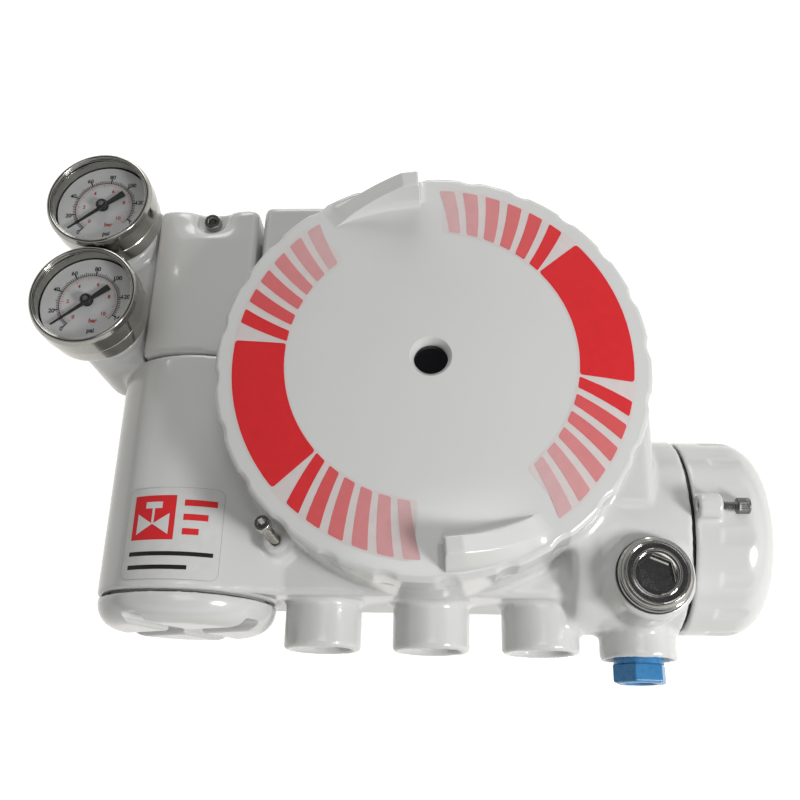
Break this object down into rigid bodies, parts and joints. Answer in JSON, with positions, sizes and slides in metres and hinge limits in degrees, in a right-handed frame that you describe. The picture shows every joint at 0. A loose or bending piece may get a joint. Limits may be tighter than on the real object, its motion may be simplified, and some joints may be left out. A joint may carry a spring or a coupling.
{
  "type": "valve positioner",
  "caption": "Digital valve positioner: cast white housing with domed screw cover, spool valve, feedback shaft, terminal compartment and side pressure gauges.",
  "frame": {"origin": "on the feedback shaft axis, in the plane of the mounting pads", "axes": "+Z out of the main cover, +X towards the terminal cap, -Y towards the pneumatic ports"},
  "size_m": [0.2833, 0.2004, 0.136],
  "materials": {
    "white_paint": "gloss white paint on cast aluminium",
    "stainless": "polished stainless steel",
    "zinc": "zinc plated steel",
    "aluminium": "machined aluminium",
    "brass": "machined brass",
    "seal_rubber": "matt black nitrile",
    "black_plastic": "fine matt",
    "board_green": "solder mask",
    "blue_plastic": "satin moulded",
    "red_plastic": "satin moulded",
    "dial_white": "printed white",
    "pointer_black": "black paint",
    "lamp": "clear tinted",
    "clear_glass": "clear",
    "dark_glass": "smoked"
  },
  "bodies": {
    "body": {"housing": "white_paint", "terminal_board": "board_green", "terminal_block": "black_plastic", "terminal_screws": "zinc", "ground_screw": "zinc", "conduit_plug": "stainless", "conduit_seal": "seal_rubber", "shipping_plug": "blue_plastic", "driver_module": "black_plastic", "pressure_regulator": "aluminium", "spool_cover": "white_paint", "spool_cover_screw": "stainless", "spool_gasket": "seal_rubber", "spool_block": "aluminium", "spool_block_screws": "zinc", "main_board": "board_green", "board_shroud": "black_plastic", "board_screws": "zinc", "status_lights": "lamp", "option_switches": "red_plastic", "shaft_bushings": "brass", "position_sensor": "black_plastic", "sensor_bracket": "zinc", "sensor_screws": "zinc", "lower_gauge_case": "stainless", "lower_gauge_bezel": "stainless", "lower_gauge_lens": "clear_glass", "lower_gauge_dial": "dial_white", "lower_gauge_movement": "brass", "lower_gauge_tube": "brass", "lower_gauge_socket": "brass", "upper_gauge_case": "stainless", "upper_gauge_bezel": "stainless", "upper_gauge_lens": "clear_glass", "upper_gauge_dial": "dial_white", "upper_gauge_movement": "brass", "upper_gauge_tube": "brass", "upper_gauge_socket": "brass"},
    "cover_carrier": {"cover_seal": "seal_rubber"},
    "cover": {"main_cover": "white_paint", "cover_window": "dark_glass", "window_ring": "zinc"},
    "cap_carrier": {"cap_seal": "seal_rubber"},
    "cap": {"terminal_cap": "white_paint"},
    "cap_lock": {"cap_lock_screw": "stainless"},
    "driver_carrier": {"driver_seal": "seal_rubber"},
    "driver_cap": {"driver_cover": "white_paint"},
    "cover_lock": {"cover_lock_screw": "stainless"},
    "spool_valve": {"spool": "stainless"},
    "shaft": {"feedback_shaft": "stainless", "shaft_clip": "zinc", "return_spring": "zinc"},
    "lower_needle": {"lower_gauge_pointer": "pointer_black"},
    "upper_needle": {"upper_gauge_pointer": "pointer_black"},
    "cal_key": {"cal_button": "red_plastic"},
    "jog_up_key": {"jog_up_button": "black_plastic"},
    "jog_down_key": {"jog_down_button": "black_plastic"}
  },
  "joints": [
    {"name": "cover_rise", "type": "slide", "parent": "body", "child": "cover_carrier", "axis": [0, 0, 1], "range_m": [0, 0.00802]},
    {"name": "cover_turn", "type": "hinge", "parent": "cover_carrier", "child": "cover", "pos_m": [0, 0, 0.09], "axis": [0, 0, 1], "range_deg": [0, 1440]},
    {"name": "cap_rise", "type": "slide", "parent": "body", "child": "cap_carrier", "axis": [1, 0, 0], "range_m": [0, 0.00802]},
    {"name": "cap_turn", "type": "hinge", "parent": "cap_carrier", "child": "cap", "pos_m": [0.096, -0.05, 0.04], "axis": [1, 0, 0], "range_deg": [0, 1440]},
    {"name": "driver_rise", "type": "slide", "parent": "body", "child": "driver_carrier", "axis": [0, -1, 0], "range_m": [0, 0.00602]},
    {"name": "driver_turn", "type": "hinge", "parent": "driver_carrier", "child": "driver_cap", "pos_m": [-0.097, -0.08, 0.04], "axis": [0, -1, 0], "range_deg": [0, 1080]},
    {"name": "cap_lock_run", "type": "slide", "parent": "cap", "child": "cap_lock", "axis": [1, 0, 0], "range_m": [-0.001, 0.005]},
    {"name": "cover_lock_run", "type": "slide", "parent": "body", "child": "cover_lock", "axis": [0, 0, 1], "range_m": [-0.012, 0.004]},
    {"name": "spool_shift", "type": "slide", "parent": "body", "child": "spool_valve", "axis": [0, 1, 0], "range_m": [-0.002, 0.002]},
    {"name": "shaft_turn", "type": "hinge", "parent": "body", "child": "shaft", "pos_m": [0, 0, 0], "axis": [0, 0, 1], "range_deg": [-45, 45], "stiffness_Nm_per_rad": 0.02},
    {"name": "lower_needle_swing", "type": "hinge", "parent": "body", "child": "lower_needle", "pos_m": [-0.1348, 0.029, 0.0935], "axis": [0, 0, 1], "range_deg": [-256, 14], "stiffness_Nm_per_rad": 0.00002},
    {"name": "upper_needle_swing", "type": "hinge", "parent": "body", "child": "upper_needle", "pos_m": [-0.1348, 0.0724, 0.0935], "axis": [0, 0, 1], "range_deg": [-256, 14], "stiffness_Nm_per_rad": 0.00002},
    {"name": "cal_press", "type": "slide", "parent": "body", "child": "cal_key", "axis": [0, 0, -1], "range_m": [0, 0.001], "stiffness_N_per_m": 300},
    {"name": "jog_up_press", "type": "slide", "parent": "body", "child": "jog_up_key", "axis": [0, 0, -1], "range_m": [0, 0.001], "stiffness_N_per_m": 300},
    {"name": "jog_down_press", "type": "slide", "parent": "body", "child": "jog_down_key", "axis": [0, 0, -1], "range_m": [0, 0.001], "stiffness_N_per_m": 300}
  ],
  "couplings": [
    {"joint": "cover_rise", "follows": "cover_turn", "m_per_rad": 0.00031831},
    {"joint": "cap_rise", "follows": "cap_turn", "m_per_rad": 0.00031831},
    {"joint": "driver_rise", "follows": "driver_turn", "m_per_rad": 0.00031831}
  ]
}
